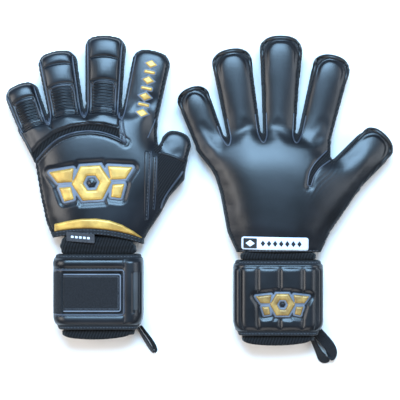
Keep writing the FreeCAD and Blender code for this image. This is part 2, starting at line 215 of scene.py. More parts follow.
class Glove:
    """One glove's plan, the heights of its skins over that plan, and the shapes laid on it."""

    def __init__(self, name, palm_up, hem, strap_top, digits, pinky_side, thumb_side):
        wrist = JOINTS[name + "_wrist_flex"]["pos_m"]
        self.name = name
        self.palm_up = palm_up
        self.hem = hem
        self.strap_top = strap_top
        self.origin = np.array([wrist[0] * 1000, wrist[1] * 1000 - (hem + strap_top) / 2])
        self.digits = [Digit(self, *row) for row in digits]
        points = list(pinky_side)
        for digit in self.digits:
            points += [digit.plan(-digit.half_root, 3.0), digit.plan(digit.half_root, 3.0)]
        points += list(thumb_side)
        self.outline = [(-WRIST_HALF + 1, FIELD[2] + 2)] + points + [(WRIST_HALF - 1, FIELD[2] + 2)]
        self.shift = self.digit("middle").base[1] - MIDDLE_ROOT if palm_up else 0.0
        self.shapes = {}
        self.swell = self.solve_swell()
        self.puff = {"top": np.zeros_like(self.swell), "bottom": np.zeros_like(self.swell)}
        self.puff = simulate_puff(self)

    def body(self, name):
        return self.name + "_" + name

    def digit(self, name):
        return [d for d in self.digits if d.name == name][0]

    def fingers(self):
        return self.digits[:4]

    def distance(self, x, y):
        """Signed distance to the glove's outline, negative inside."""
        total = polygon_distance(self.outline, x, y)
        for digit in self.digits:
            total = melt(total, digit.distance(x, y), MELT)
        return total

    def solve_swell(self):
        """How far a skin held at the outline would swell, solved as a membrane under pressure."""
        level = None
        for step in (4.0, 2.0, FIELD_STEP):
            xs = np.arange(FIELD[0], FIELD[1] + step / 2, step)
            ys = np.arange(FIELD[2], FIELD[3] + step / 2, step)
            x, y = np.meshgrid(xs, ys)
            inside = self.distance(x, y) < 0
            if level is None:
                level = np.zeros_like(x)
            else:
                rows = np.linspace(0, level.shape[0] - 1, len(ys))
                columns = np.linspace(0, level.shape[1] - 1, len(xs))
                level = bilinear(level, *np.meshgrid(columns, rows))
            level = relax(level * inside, inside, step)
        return np.sqrt(2 * level)

    def sample(self, x, y, values=None):
        column = (np.asarray(x, float) - FIELD[0]) / FIELD_STEP
        row = (np.asarray(y, float) - FIELD[2]) / FIELD_STEP
        return bilinear(self.swell if values is None else values, column, row)

    def plain_top(self, x, y):
        """The upper skin as a membrane, over the fingers and then the thicker hand."""
        swell = self.sample(x, y)
        edge, crest = BACK_EDGE, CREST
        if self.palm_up:
            edge = PALM_EDGE
            crest = CREST - ROOT_DIP * (0.5 + 0.5 * np.tanh((y - 101) / 15))
            crest = crest + FINGER_RISE / 10 * np.logaddexp(0, (y - 122) / 9)
        return SEAM + crest * np.tanh(swell / edge) + HAND_SWELL * smooth_step((swell - 17.0) / 38.0)

    def plain_bottom(self, x, y):
        return SEAM - PALM_DEPTH * np.tanh(self.sample(x, y) / LOWER_EDGE)

    def top(self, x, y):
        relief = palm_relief if self.palm_up else back_relief
        return self.plain_top(x, y) + self.sample(x, y, self.puff["top"]) + relief(self, x, y)

    def bottom(self, x, y):
        relief = back_relief if self.palm_up else palm_relief
        return self.plain_bottom(x, y) - self.sample(x, y, self.puff["bottom"]) - relief(self, x, y)

    def hem_line(self, x):
        """The hem's place along the glove, which bows up in the middle of the left one."""
        if self.palm_up:
            return self.hem + 0.0 * x
        return self.hem + HEM_BOW[0] + HEM_BOW[1] * x + HEM_BOW[2] * x * x

    def shifted(self, points):
        """Points of the left glove's back, moved to where this one's knuckles are."""
        return [(x, y + self.shift) for x, y in points]

    def down_strap(self, points):
        """Plan points from places across and down the strap."""
        return [(x, self.strap_top - depth) for x, depth in points]

    def skin(self, side):
        """The name of the hand's skin on the palm or the back side."""
        return "top" if (side == "palm") == self.palm_up else "bottom"

    def place(self, skin, x, y, height):
        """Places at a height above one of the glove's skins."""
        if skin == "top":
            return np.column_stack([x, y, self.top(x, y) + height])
        if skin == "bottom":
            return np.column_stack([x, y, np.maximum(self.bottom(x, y) - height, 0.1)])
        around = self.around(skin, x)
        return self.wrap(around, y, self.cuff_relief(around, y) + height)

    def around(self, skin, x):
        """The distance round the wrist of places on one side of the cuff."""
        return x if skin == "cuff_top" else np.sign(x) * (HALF_GIRTH - np.abs(x))

    def wrap(self, around, y, height):
        """Places about the wrist at a height above its section, which narrows towards both ends."""
        across, up, out_x, out_z = wrist_section(around)
        depth = self.strap_top - y
        taper = 1 - 0.03 * smooth_step((9 - depth) / 12) - 0.10 * smooth_step((depth - 59) / 19)
        z = CUFF_FOOT + (WRIST_THICK - CUFF_FOOT) / WRIST_THICK * up + out_z * height
        return np.column_stack([(across + out_x * height) * taper, y, np.maximum(z, 0.1)])

    def cuff_relief(self, around, y):
        """How far the strap's quilting stands out, by the distance round the wrist."""
        x, _, _, up = wrist_section(around)
        depth = self.strap_top - y
        upper = smooth_step((up - 0.1) / 0.5)
        lower = smooth_step((-up - 0.1) / 0.5)
        back, palm = (lower, upper) if self.palm_up else (upper, lower)
        return strap_hems(depth) + back * strap_back(x, depth) + palm * strap_palm(x, depth)

    def row(self, points):
        """Points in the glove's millimetres as metres in the row frame."""
        moved = np.array(points, float)
        moved[:, :2] += self.origin
        return moved / 1000

    def gather(self, group, vertices, faces, body=None):
        """Keeps a shape for its group: one object is made of each group on each body or hinge."""
        vertices[:, 2] = np.maximum(vertices[:, 2], 0.05)
        self.shapes.setdefault((group, body), []).append((vertices, faces))


class Side:
    """The back or the palm side of a glove's hand or cuff, with ways to lay shapes on it."""

    def __init__(self, glove, side, body=None):
        self.glove = glove
        self.skin = ("cuff_" if body else "") + glove.skin(side)
        self.body = body

    def plate(self, group, distance, bounds, step, lift, digit=None, sink=1.2, arch=0.0):
        """A padded plate.

        lift is its height, or gives it from its plan and its depth inside its own outline. With a
        digit, its plan and bounds are across and along that digit, and arch bows its rows.
        """
        points, quads, rim = lattice(distance, bounds, step)
        x, y = points.T
        raised = lift(x, y, -distance(x, y)) if callable(lift) else lift
        if digit:
            x, y = digit.plan(x, y - arch * x * x)
        outer, inner = (self.glove.place(self.skin, x, y, height) for height in (raised, -sink))
        self.glove.gather(group, *closed_sheet(quads, rim, outer, inner), self.body)

    def line(self, points, step, lift, digit=None):
        """A rounded line on the skin, as far as it lies on the hand."""
        path = smooth_path(points, step)
        x, y = digit.plan(*path.T) if digit else path.T
        if not self.body:
            inside = self.glove.distance(x, y) < -EDGE_CLEAR
            x, y = x[inside], y[inside]
        return self.glove.place(self.skin, x, y, lift)

    def piping(self, group, points, radius, lift, digit=None):
        """A sewn cord or seam line."""
        path = self.line(points, 1.2, lift, digit)
        if len(path) > 2:
            self.glove.gather(group, *tube(path, radius), self.body)

    def stitches(self, points, lift=0.15):
        """A row of short stitches."""
        place = self.line(points, STITCH_GAP, lift)
        for start, end in zip(place[:-1], place[1:]):
            middle = (start + end) / 2
            half = (end - start) / np.linalg.norm(end - start) * STITCH_LENGTH / 2
            stitch = tube(np.array([middle - half, middle, middle + half]), 0.42)
            self.glove.gather("cuff_stitching" if self.body else "stitching", *stitch, self.body)


# ---------------------------------------------------------------- plan and height helpers
def rounded_corner(a, b, radius):
    a, b = a + radius, b + radius
    return np.minimum(np.maximum(a, b), 0) + np.hypot(np.maximum(a, 0), np.maximum(b, 0)) - radius


def melt(a, b, size):
    """The smaller of two distances, rounded where they meet."""
    share = np.clip(0.5 + 0.5 * (b - a) / size, 0.0, 1.0)
    return b + (a - b) * share - size * share * (1 - share)


def smooth_step(t):
    t = np.clip(t, 0.0, 1.0)
    return t * t * (3 - 2 * t)


def ridge(value, low, high):
    """A round bulge between two values, 1 at its top."""
    share = (2 * value - low - high) / (high - low)
    return np.sqrt(np.clip(1 - share * share, 0.0, 1.0))


def groove(value, place, width):
    return np.exp(-((value - place) / width) ** 2)


def cushion(height, rim):
    """A plate's height: a round rim, then level."""
    def lift(x, y, depth):
        share = np.clip(depth / rim, 0.0, 1.0)
        return height * np.sqrt(1 - (1 - share) ** 2)
    return lift


def path_distance(points, x, y):
    nearest = np.full(np.shape(x), FAR)
    for (ax, ay), (bx, by) in zip(points, points[1:]):
        ex, ey = bx - ax, by - ay
        share = np.clip(((x - ax) * ex + (y - ay) * ey) / (ex * ex + ey * ey), 0, 1)
        nearest = np.minimum(nearest, np.hypot(x - ax - share * ex, y - ay - share * ey))
    return nearest


def polygon_distance(points, x, y):
    """Signed distance to a polygon, negative inside."""
    nearest = path_distance(points + points[:1], x, y)
    inside = np.zeros(np.shape(x), bool)
    for (ax, ay), (bx, by) in zip(points, points[1:] + points[:1]):
        if ay != by:
            inside ^= ((ay > y) != (by > y)) & (x < (bx - ax) * (y - ay) / (by - ay) + ax)
    return np.where(inside, -nearest, nearest)


def bilinear(values, column, row):
    column = np.clip(column, 0, values.shape[1] - 1.001)
    row = np.clip(row, 0, values.shape[0] - 1.001)
    c, r = column.astype(int), row.astype(int)
    s, t = column - c, row - r
    low = values[r, c] * (1 - s) + values[r, c + 1] * s
    high = values[r + 1, c] * (1 - s) + values[r + 1, c + 1] * s
    return low * (1 - t) + high * t


def relax(level, inside, step, rounds=160, push=1.85):
    """Over-relaxed sweeps of the membrane equation, on the two colours of a chessboard in turn."""
    rows, columns = np.indices(level.shape)
    colours = [inside & ((rows + columns) % 2 == k) for k in (0, 1)]
    for mask in colours:
        mask[0] = mask[-1] = False
        mask[:, 0] = mask[:, -1] = False
    for _ in range(rounds):
        for mask in colours:
            around = np.zeros_like(level)
            around[1:-1, 1:-1] = (level[2:, 1:-1] + level[:-2, 1:-1] + level[1:-1, 2:]
                                  + level[1:-1, :-2] + step * step) / 4
            level = np.where(mask, level + push * (around - level), level)
    return level


# ---------------------------------------------------------------- cloth
def simulate_puff(glove):
    """Blows the glove up as cloth, and gives how far each skin moved, on the height field's grid."""
    def shape(x, y):
        return np.maximum(glove.distance(x, y), glove.hem - y)

    points, quads, rim = lattice(shape, (FIELD[0], FIELD[1], glove.hem - 2, FIELD[3]), CLOTH_STEP)
    x, y = points.T
    top = np.column_stack([points, glove.plain_top(x, y) - 1.0])
    bottom = np.column_stack([points, glove.plain_bottom(x, y) + 1.0])
    vertices, faces = closed_sheet(quads, rim, top, bottom)
    piece = make_mesh(glove.body("cloth"), vertices / 1000, faces, [])
    cloth = piece.modifiers.new("cloth", "CLOTH")
    cloth.settings.quality = 6
    cloth.settings.use_pressure = True
    cloth.settings.uniform_pressure_force = CLOTH_PRESSURE
    cloth.settings.effector_weights.gravity = 0.0
    cloth.point_cache.frame_end = CLOTH_FRAMES
    for frame_number in range(1, CLOTH_FRAMES + 1):
        bpy.context.scene.frame_set(frame_number)
    evaluated = piece.evaluated_get(bpy.context.evaluated_depsgraph_get())
    moved = np.empty(len(vertices) * 3)
    evaluated.data.vertices.foreach_get("co", moved)
    lift = moved.reshape(-1, 3)[:, 2] * 1000 - vertices[:, 2]
    bpy.data.objects.remove(piece)
    bpy.context.scene.frame_set(1)
    count = len(points)
    return {"top": spread(x, y, lift[:count]), "bottom": spread(x, y, -lift[count:])}


def spread(x, y, lift):
    """Scattered heights as a smooth field on the height field's grid."""
    lift = np.clip(lift, -CLOTH_CAP, CLOTH_CAP) * CLOTH_SHARE
    rows = int((FIELD[3] - FIELD[2]) / FIELD_STEP) + 1
    columns = int((FIELD[1] - FIELD[0]) / FIELD_STEP) + 1
    total, weight = np.zeros((rows, columns)), np.zeros((rows, columns))
    column = np.clip(np.rint((x - FIELD[0]) / FIELD_STEP).astype(int), 0, columns - 1)
    row = np.clip(np.rint((y - FIELD[2]) / FIELD_STEP).astype(int), 0, rows - 1)
    np.add.at(total, (row, column), lift)
    np.add.at(weight, (row, column), 1.0)
    for _ in range(3):
        total, weight = blur(total, 2), blur(weight, 2)
    for _ in range(3):
        total, weight = total + 1e-4 * blur(total, 6), weight + 1e-4 * blur(weight, 6)
    return total / np.maximum(weight, 1e-9)


def blur(values, reach):
    """A box blur by running sums along both axes."""
    for axis in (0, 1):
        padded = np.concatenate([np.repeat(np.take(values, [0], axis), reach + 1, axis), values,
                                 np.repeat(np.take(values, [-1], axis), reach, axis)], axis)
        sums = np.cumsum(padded, axis)
        width = 2 * reach + 1
        count = values.shape[axis]
        values = (np.take(sums, np.arange(width, width + count), axis)
                  - np.take(sums, np.arange(count), axis)) / width
    return values


# ---------------------------------------------------------------- meshes
def lattice(distance, bounds, step):
    """A square mesh that fills a shape in plan, its border moved on to the shape's outline."""
    xs = np.arange(bounds[0], bounds[1] + step, step)
    ys = np.arange(bounds[2], bounds[3] + step, step)
    x, y = np.meshgrid(xs, ys)
    centre = distance((x[1:, 1:] + x[:-1, :-1]) / 2, (y[1:, 1:] + y[:-1, :-1]) / 2)
    keep = np.argwhere(centre < 0)
    width = len(xs)
    corner = keep[:, 0] * width + keep[:, 1]
    quads = np.stack([corner, corner + 1, corner + width + 1, corner + width], axis=1)
    used, quads = np.unique(quads, return_inverse=True)
    quads = quads.reshape(-1, 4)
    points = np.stack([x.ravel()[used], y.ravel()[used]], axis=1)
    rim = border_edges(quads)
    edge = np.unique(rim)
    small = step / 8
    for _ in range(3):
        px, py = points[edge].T
        gx = (distance(px + small, py) - distance(px - small, py)) / (2 * small)
        gy = (distance(px, py + small) - distance(px, py - small)) / (2 * small)
        move = np.clip(distance(px, py) / np.maximum(gx * gx + gy * gy, 0.25), -step, step)
        points[edge] -= np.column_stack([move * gx, move * gy])
    return points, quads, rim


def border_edges(quads):
    """The edges that only one face has, in that face's direction."""
    edges = np.concatenate([quads[:, [k, (k + 1) % 4]] for k in range(4)])
    key = edges.min(axis=1) * (int(quads.max()) + 1) + edges.max(axis=1)
    _, first, count = np.unique(key, return_index=True, return_counts=True)
    return edges[first[count == 1]]


def closed_sheet(quads, rim, outer, inner):
    """A closed solid between two surfaces over one plan mesh."""
    n = len(outer)
    walls = np.stack([rim[:, 1], rim[:, 0], rim[:, 0] + n, rim[:, 1] + n], axis=1)
    return outward(np.concatenate([outer, inner]), np.concatenate([quads, quads[:, ::-1] + n, walls]))


def ring_walls(rings, sides):
    """Quads from each ring of corners to the next, and from the last ring to the first."""
    here = np.arange(rings)[:, None] * sides
    there = (here + sides) % (rings * sides)
    corner = np.arange(sides)
    after = (corner + 1) % sides
    return np.stack([here + corner, here + after, there + after, there + corner], axis=2).reshape(-1, 4)


def loft(rows):
    """A closed ring-shaped solid from rows of points round the wrist: out along, in and back."""
    return outward(np.concatenate(rows), ring_walls(len(rows), len(rows[0])))


def capped_bar(corners):
    """A closed bar from the corners of one section after another."""
    rings, sides = corners.shape[:2]
    last = (rings - 1) * sides
    caps = np.array([[0, k + 2, k + 1, k] for k in range(1, sides - 1, 2)])
    walls = ring_walls(rings, sides)[:last]
    return outward(corners.reshape(-1, 3), np.concatenate([walls, caps, caps[:, ::-1] + last]))


def tube(path, radius):
    """A round bar along points in space, with tapered ends."""
    ahead = np.gradient(path, axis=0)
    ahead /= np.maximum(np.linalg.norm(ahead, axis=1, keepdims=True), 1e-9)
    across = np.cross(ahead, [0.0, 0.0, 1.0])
    across[np.linalg.norm(across, axis=1) < 0.05] = [1.0, 0.0, 0.0]
    across /= np.linalg.norm(across, axis=1, keepdims=True)
    up = np.cross(across, ahead)
    turn = np.linspace(0, 2 * math.pi, TUBE_SIDES, endpoint=False)[:, None]
    ring = np.cos(turn) * across[:, None] + np.sin(turn) * up[:, None]
    width = np.broadcast_to(radius, len(path)).astype(float)
    width[[0, -1]] *= 0.55
    return capped_bar(path[:, None] + width[:, None, None] * ring)


def outward(vertices, faces):
    """Turns a closed solid's faces outwards."""
    a, b, c, d = (vertices[faces[:, k]] for k in range(4))
    volume = np.sum(a * (np.cross(b, c) + np.cross(c, d)))
    return vertices, (faces if volume > 0 else faces[:, ::-1])


def smooth_path(points, step=1.2):
    """A rounded line through given points, evenly spaced."""
    points = np.array(points, float)
    for _ in range(3):
        near = 0.75 * points[:-1] + 0.25 * points[1:]
        far = 0.25 * points[:-1] + 0.75 * points[1:]
        inner = np.stack([near, far], axis=1).reshape(-1, points.shape[1])
        points = np.concatenate([points[:1], inner[1:-1], points[-1:]])
    length = np.concatenate([[0], np.cumsum(np.linalg.norm(np.diff(points, axis=0), axis=1))])
    at = np.linspace(0, length[-1], max(int(length[-1] / step), 3))
    return np.stack([np.interp(at, length, points[:, k]) for k in range(points.shape[1])], axis=1)


def vertex_normals(vertices, faces):
    a, b = vertices[faces[:, 2]] - vertices[faces[:, 0]], vertices[faces[:, 3]] - vertices[faces[:, 1]]
    face_normals = np.cross(a, b)
    total = np.zeros_like(vertices)
    for k in range(4):
        np.add.at(total, faces[:, k], face_normals)
    return total / np.maximum(np.linalg.norm(total, axis=1, keepdims=True), 1e-12)


# ---------------------------------------------------------------- pieces
def make_mesh(name, vertices, faces, materials, slots=None, normals=None):
    mesh = bpy.data.meshes.new(name)
    mesh.from_pydata(vertices.tolist(), [], faces.tolist())
    for material in materials:
        mesh.materials.append(material)
    if slots is not None:
        mesh.polygons.foreach_set("material_index", slots.astype(np.int32))
    mesh.polygons.foreach_set("use_smooth", np.ones(len(faces), bool))
    mesh.update()
    if normals is not None:
        mesh.normals_split_custom_set_from_vertices(normals.tolist())
    piece = bpy.data.objects.new(name, mesh)
    bpy.context.scene.collection.objects.link(piece)
    return piece


def glove_mesh(glove, name, vertices, faces, materials, slots=None):
    """A whole shape on a glove, in the glove's millimetres, as one object."""
    normals = vertex_normals(vertices, faces)
    return make_mesh(glove.body(name), glove.row(vertices), faces, materials, slots, normals)


def ride_piece(glove, name, vertices, faces, materials, slot, body, slots=None):
    """Makes one object that rides on one of the glove's bodies."""
    piece = glove_mesh(glove, name, vertices, faces, materials, slots)
    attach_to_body(piece, glove.body(body))
    return piece


def regions(glove, x, y):
    """For places in plan, 0 on the hand, or 1 and 2 more for each digit's base and end."""
    found = np.zeros(x.shape, int)
    best = np.full(x.shape, FAR)
    for k, digit in enumerate(glove.digits):
        across, along = digit.local(x, y)
        closeness = np.abs(across) / (digit.half(along) + 4.0)
        mine = (along > BEND_START) & (closeness < 1.0) & (closeness < best)
        best = np.where(mine, closeness, best)
        found = np.where(mine, 1 + 2 * k + (along > digit.cut), found)
    return found


def attach(piece, glove, region):
    """Rides a piece on the hand; a piece in a digit's region is only baked in place, without a bend at its
    hinge.
    """
    if region == 0:
        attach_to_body(piece, glove.body("hand"))
    else:
        digit = glove.digits[(region - 1) // 2]
        first = glove.body(digit.name)
        bend = (BEND_START, BEND_END)
        bodies = (glove.body("hand"), first)
        if region % 2 == 0:
            bend = (digit.knuckle - KNUCKLE_BEND, digit.knuckle + KNUCKLE_BEND)
            bodies = (first, first + "_end")
        start, end = glove.row([(*digit.plan(0.0, along), SEAM) for along in bend])
        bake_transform(piece)


def add_pieces(glove, name, vertices, faces, materials, slots=None):
    """Makes a shape on a glove as one object for each hinge that it crosses, by region."""
    normals = vertex_normals(vertices, faces)
    centre = vertices[faces].mean(axis=1)
    found = regions(glove, centre[:, 0], centre[:, 1])
    labels = ["hand"] + [digit.name + part for digit in glove.digits for part in ("_base", "_end")]
    made = {}
    for region in np.unique(found):
        used, local = np.unique(faces[found == region], return_inverse=True)
        piece = make_mesh(glove.body(name + "_" + labels[region]), glove.row(vertices[used]),
                          local.reshape(-1, 4), materials,
                          None if slots is None else slots[found == region], normals[used])
        attach(piece, glove, region)
        made[labels[region]] = piece
    return made


def finish_shapes(glove):
    """Makes the gathered groups into objects, and hides the CAD node that a group replaces."""
    for (group, body), parts in glove.shapes.items():
        material, slot, node = GROUPS[group]
        offset = np.cumsum([0] + [len(vertices) for vertices, _ in parts])
        vertices = np.concatenate([vertices for vertices, _ in parts])
        faces = np.concatenate([faces + start for (_, faces), start in zip(parts, offset)])
        if body:
            pieces = [ride_piece(glove, group, vertices, faces, [material], slot, body)]
        else:
            pieces = list(add_pieces(glove, group, vertices, faces, [material]).values())
        if node:
            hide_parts(glove.body(node))


# ---------------------------------------------------------------- the skins' relief
def hexagon(x, y, radius):
    x, y = np.abs(x), np.abs(y)
    return np.maximum(x * 0.866 + y * 0.5, y) - radius


def emblem(x, y):
    """A generic ornament: a six-sided ring between two pairs of wings."""
    ring = np.maximum(hexagon(x, y, 15.5) - 2.0, -(hexagon(x, y, 5.5) - 1.0))
    upper = polygon_distance(UPPER_WING, np.abs(x), y) - 1.2
    lower = polygon_distance(LOWER_WING, np.abs(x), y) - 1.2
    return np.minimum(ring, np.minimum(upper, lower))


def back_emblem(glove, x, y):
    """The emblem's distance in the plan of the glove's back."""
    cos, sin = math.cos(EMBLEM_TURN), math.sin(EMBLEM_TURN)
    dx, dy = x - EMBLEM_PLACE[0], y - EMBLEM_PLACE[1] - glove.shift
    return emblem(dx * cos - dy * sin, dx * sin + dy * cos)


def badge(x, depth):
    """The distance to the strap's smaller emblem."""
    across, up = x - BADGE_PLACE[0], BADGE_PLACE[1] - depth
    return BADGE_SCALE * emblem(across / BADGE_SCALE, up / BADGE_SCALE)


def lozenge(x, y, half_width, half_height, scale):
    return (np.abs(x) / half_width + np.abs(y) / half_height - 1) * scale


def flex_band(glove):
    return glove.shifted(FLEX_UPPER + FLEX_LOWER[::-1][1:])


def back_relief(glove, x, y):
    """The back's recessed flex line, the hollow about its emblem and its seams."""
    hollow = smooth_step((7.0 - back_emblem(glove, x, y)) / 5.0)
    flex = smooth_step((0.8 - polygon_distance(flex_band(glove), x, y)) / 1.6)
    seam = groove(path_distance(glove.shifted(FLEX_LOWER), x, y), 4.2, 0.9)
    web = groove(path_distance(glove.shifted(DOUBLE_SEAM), x, y), 0.0, 2.2)
    hem = groove(y - glove.hem_line(x), HEM_WIDTH, 0.9)
    return -1.5 * hollow - 2.4 * flex - 0.5 * seam - 0.9 * web - 0.6 * hem


def palm_relief(glove, x, y):
    """The palm's rolled rims at the fingertips, the slit by the thumb and the creases there."""
    total = -0.5 * groove(y - glove.hem_line(x), 1.6, 0.8)
    for digit in glove.digits:
        across, along = digit.local(x, y)
        near_tip = smooth_step((along - 0.62 * digit.length) / (0.2 * digit.length))
        on_digit = np.abs(across) < digit.half(along) + 2
        total = total - 0.9 * near_tip * on_digit * groove(-digit.distance(x, y), TIP_ROLL, 1.1)
    slit = thumb_slit(glove)
    total = total - 1.8 * groove(path_distance(slit, x, y), 0.0, 3.4)
    end_x, end_y = slit[-1]
    inner = path_distance([(end_x + 8, end_y - 4), (end_x + 20, end_y + 12)], x, y)
    creases = np.sin(1.3 * (0.9 * x - 0.75 * y) + 1.8 * np.sin(0.13 * (x + y)))
    return total - 0.07 * creases * np.exp(-(inner / 10.0) ** 2)


def web_place(first, second, back=-4):
    """The middle of the web between two digits."""
    return (np.array(first.plan(first.half_root, -4)) + np.array(second.plan(-second.half_root, back))) / 2


def thumb_slit(glove):
    """The line of the seam that runs in from the web of the thumb."""
    web = web_place(glove.digit("index"), glove.digit("thumb"), -2)
    return [(web[0] + dx, web[1] + dy) for dx, dy in SLIT]


def wrist_section(around):
    """Where a distance round the wrist is on its section: across, up, and the way that it faces."""
    side = np.sign(around)
    run = np.abs(around)
    beyond = run - WRIST_FLAT - QUARTER
    turn = (np.clip(run - WRIST_FLAT, 0, QUARTER) + np.clip(beyond - WRIST_SIDE, 0, QUARTER)) / WRIST_CORNER
    under = np.maximum(beyond - WRIST_SIDE - QUARTER, 0)
    across = np.minimum(run, WRIST_FLAT) + WRIST_CORNER * np.sin(turn) - under
    height = WRIST_THICK - WRIST_CORNER - np.clip(beyond, 0, WRIST_SIDE) + WRIST_CORNER * np.cos(turn)
    return side * across, height, side * np.sin(turn), np.cos(turn)


def strap_hems(depth):
    """The strap's thinner, rounded edges, all round the wrist."""
    edges = smooth_step((4.4 - depth) / 1.4) + smooth_step((depth - STRAP_LENGTH + 5.6) / 1.4)
    lip = 1 - np.clip(np.minimum(depth, STRAP_LENGTH - depth) / 1.8, 0.0, 1.0)
    return -1.5 * edges - 1.8 * (1 - np.sqrt(1 - lip ** 2))


def strap_back(x, depth):
    """The back's rolls above and below the tab, its recess, and the long pad beside it."""
    roll = 1.7 * ridge(depth, 4.4, 12.8) + 1.5 * ridge(depth, 59.5, 68.4)
    beside = smooth_step((x - 24.8) / 1.2)
    pad = 2.0 * ridge(x, 25.0, 44.5) * smooth_step(ridge(depth, 5.0, 69.0) * 2.2)
    stripe = 0.7 * groove(x, 34.4, 0.7) + 0.7 * groove(x, 40.6, 0.7)
    level = smooth_step((depth - 16.9) / 0.7) * smooth_step((58.1 - depth) / 0.7)
    within = smooth_step((x - TAB_LEFT + 1.1) / 0.6) * smooth_step((TAB_RIGHT + 0.9 - x) / 0.6)
    recess = 2.9 * level * within
    return roll * (1 - beside) + (pad - stripe * level) * beside - recess


def strap_palm(x, depth):
    """The palm side's upright quilted channels, pressed in about the badge."""
    edges = [-CHANNEL_ENDS] + CHANNELS + [CHANNEL_ENDS]
    swell = 0.0
    for low, high in zip(edges, edges[1:]):
        swell = swell + ridge(x, low + 0.7, high - 0.7) ** 0.7
    length = smooth_step(ridge(depth, 6.5, 68.0) * 1.9)
    near = smooth_step((6.0 - badge(x, depth)) / 4.0)
    return 1.75 * swell * length * (1 - 0.75 * near) - 0.4


# ---------------------------------------------------------------- materials
def new_material(name, colour, roughness, specular=0.5, sheen=0.0, metallic=0.0):
    material = bpy.data.materials.new(name)
    material.use_nodes = True
    shader = material.node_tree.nodes["Principled BSDF"]
    settings = {"Base Color": (*colour, 1.0), "Roughness": roughness, "Specular IOR Level": specular,
                "Sheen Weight": sheen, "Metallic": metallic}
    for socket, value in settings.items():
        shader.inputs[socket].default_value = value
    return material, shader


def link(material, source, output, target, socket):
    material.node_tree.links.new(source.outputs[output], target.inputs[socket])


def node(material, kind, **settings):
    made = material.node_tree.nodes.new(kind)
    for key, value in settings.items():
        if key in made.inputs:
            made.inputs[key].default_value = value
        else:
            setattr(made, key, value)
    return made


def object_place(material, turn=0.0):
    """Object coordinates, turned."""
    place = node(material, "ShaderNodeTexCoord")
    mapping = node(material, "ShaderNodeMapping", Rotation=(0.35 * turn, 0.5 * turn, turn))
    link(material, place, "Object", mapping, "Vector")
    return mapping


def texture(material, place, kind, **settings):
    made = node(material, "ShaderNodeTex" + kind, **settings)
    link(material, place, "Vector", made, "Vector")
    return made


def tint(material, shader, dark, light, source):
    """The base colour between two colours, by a texture's value."""
    ramp = node(material, "ShaderNodeValToRGB")
    for element, position, colour in zip(ramp.color_ramp.elements, (0.35, 0.65), (dark, light)):
        element.position = position
        element.color = (*colour, 1.0)
    link(material, source, "Fac", ramp, "Fac")
    link(material, ramp, "Color", shader, "Base Color")


def vary_roughness(material, shader, low, high, source):
    ranged = node(material, "ShaderNodeMapRange")
    ranged.inputs["To Min"].default_value = low
    ranged.inputs["To Max"].default_value = high
    link(material, source, "Fac", ranged, "Value")
    link(material, ranged, "Result", shader, "Roughness")


def bumps(material, shader, layers):
    """Bump from several (texture, strength, distance in metres), one over another."""
    last = None
    for source, strength, distance in layers:
        bump = node(material, "ShaderNodeBump", Strength=strength, Distance=distance)
        link(material, source, "Fac", bump, "Height")
        if last:
            link(material, last, "Normal", bump, "Normal")
        last = bump
    link(material, last, "Normal", shader, "Normal")


def latex_material(name, dark, light, roughness, grain):
    """Foam latex: fine pores, a faint mottling and slightly worn, shinier patches."""
    material, shader = new_material(name, dark, roughness, specular=0.42)
    place = object_place(material)
    mottle = texture(material, place, "Noise", Scale=28.0, Detail=4.0)
    pores = texture(material, place, "Noise", Scale=1500.0, Detail=2.0)
    creases = texture(material, place, "Noise", Scale=160.0, Detail=5.0)
    tint(material, shader, dark, light, mottle)
    vary_roughness(material, shader, roughness - 0.08, roughness + 0.08, mottle)
    bumps(material, shader, [(creases, 0.06, 0.0006), (pores, grain, 0.0002)])
    return material


WAVE_LENGTH = 0.314  # of Blender's wave texture at scale 1


def knit_material(name, dark, light, pitch, turn=0.6):
    """Rib knit: fine diagonal wales with a soft sheen."""
    material, shader = new_material(name, dark, 0.85, specular=0.2, sheen=0.08)
    place = object_place(material, turn)
    wales = texture(material, place, "Wave", Scale=WAVE_LENGTH / pitch, Distortion=0.6)
    stitches = texture(material, place, "Wave", Scale=0.6 * WAVE_LENGTH / pitch, Distortion=0.4,
                       bands_direction="Y")
    tint(material, shader, dark, light, wales)
    bumps(material, shader, [(wales, 0.8, 0.0005), (stitches, 0.5, 0.0003)])
    return material


def woven_material(name, dark, light, pitch):
    """A plain weave of two crossed threads."""
    material, shader = new_material(name, dark, 0.8, specular=0.25, sheen=0.06)
    place = object_place(material)
    threads = texture(material, place, "Checker", Scale=1.0 / pitch)
    fuzz = texture(material, place, "Noise", Scale=900.0, Detail=3.0)
    tint(material, shader, dark, light, fuzz)
    bumps(material, shader, [(threads, 0.5, 0.0004), (fuzz, 0.5, 0.0004)])
    return material


def gold_material(name, dark, light):
    """Raised matt gold print, a little rubbed."""
    material, shader = new_material(name, light, 0.40, specular=0.5, metallic=0.35)
    place = object_place(material)
    rub = texture(material, place, "Noise", Scale=90.0, Detail=6.0)
    grain = texture(material, place, "Noise", Scale=1200.0, Detail=2.0)
    tint(material, shader, dark, light, rub)
    vary_roughness(material, shader, 0.34, 0.5, rub)
    bumps(material, shader, [(grain, 0.25, 0.0002)])
    return material


